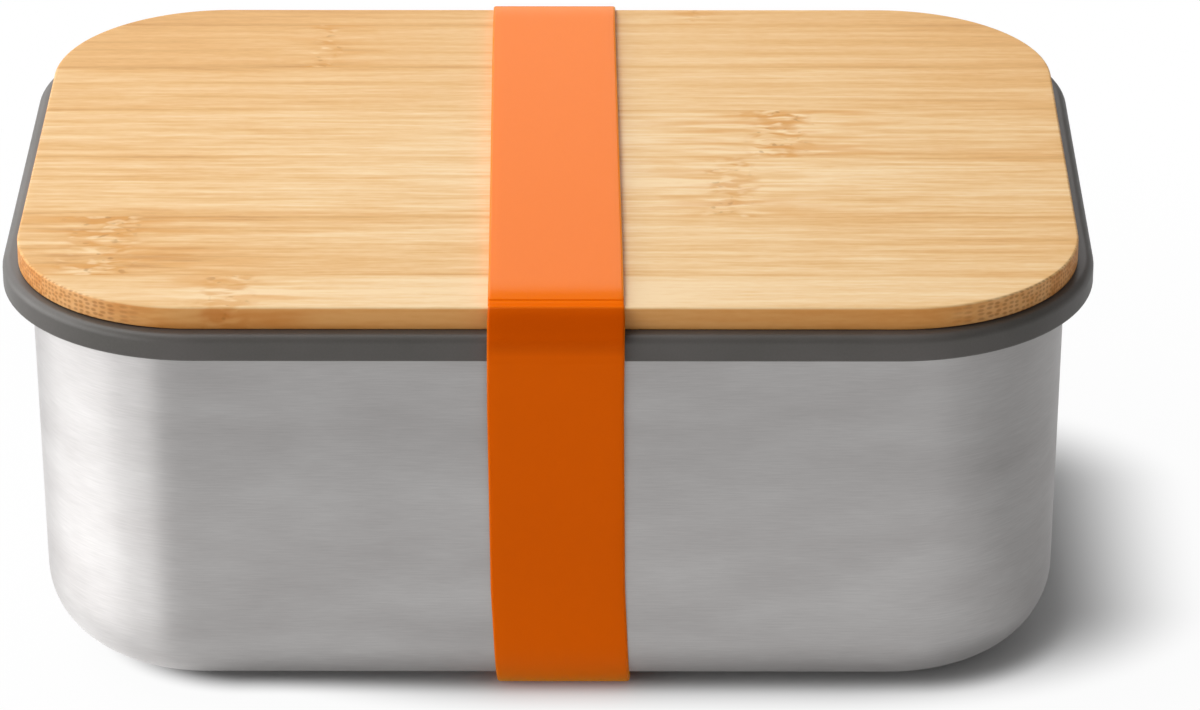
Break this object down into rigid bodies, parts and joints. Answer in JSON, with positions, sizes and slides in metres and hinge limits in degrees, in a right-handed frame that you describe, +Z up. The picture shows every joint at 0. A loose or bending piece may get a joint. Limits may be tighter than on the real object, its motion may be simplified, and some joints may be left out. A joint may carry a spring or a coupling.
{
  "type": "lunch box",
  "caption": "Rectangular steel lunch box with rounded corners, closed by a bamboo chopping-board lid with a silicone seal and held shut by an elastic strap.",
  "frame": {"origin": "middle of the box's underside, on the surface that it stands on", "axes": "+X along the long side, -Y is the front long side that the picture shows, +Z up"},
  "size_m": [0.185, 0.1384, 0.0784],
  "materials": {
    "steel": "satin, brushed along the walls",
    "seal_silicone": "matt moulded silicone",
    "bamboo": "sanded and lightly oiled",
    "strap_silicone": "matt moulded silicone"
  },
  "bodies": {
    "tub": {"steel_tub": "steel"},
    "lid": {"lid_seal": "seal_silicone", "bamboo_strip_1": "bamboo", "bamboo_strip_2": "bamboo", "bamboo_strip_3": "bamboo", "bamboo_strip_4": "bamboo", "bamboo_strip_5": "bamboo", "bamboo_strip_6": "bamboo", "bamboo_strip_7": "bamboo"},
    "strap": {"strap": "strap_silicone"}
  },
  "joints": [
    {"name": "lid_lift", "type": "slide", "parent": "tub", "child": "lid", "axis": [0, 0, 1], "range_m": [0, 0.1]},
    {"name": "strap_slide", "type": "slide", "parent": "tub", "child": "strap", "axis": [1, 0, 0], "range_m": [0, 0.13], "deforming": ["strap"]}
  ],
  "couplings": [
    {"joint": "strap_slide", "follows": "lid_lift", "ratio": 1.3}
  ]
}
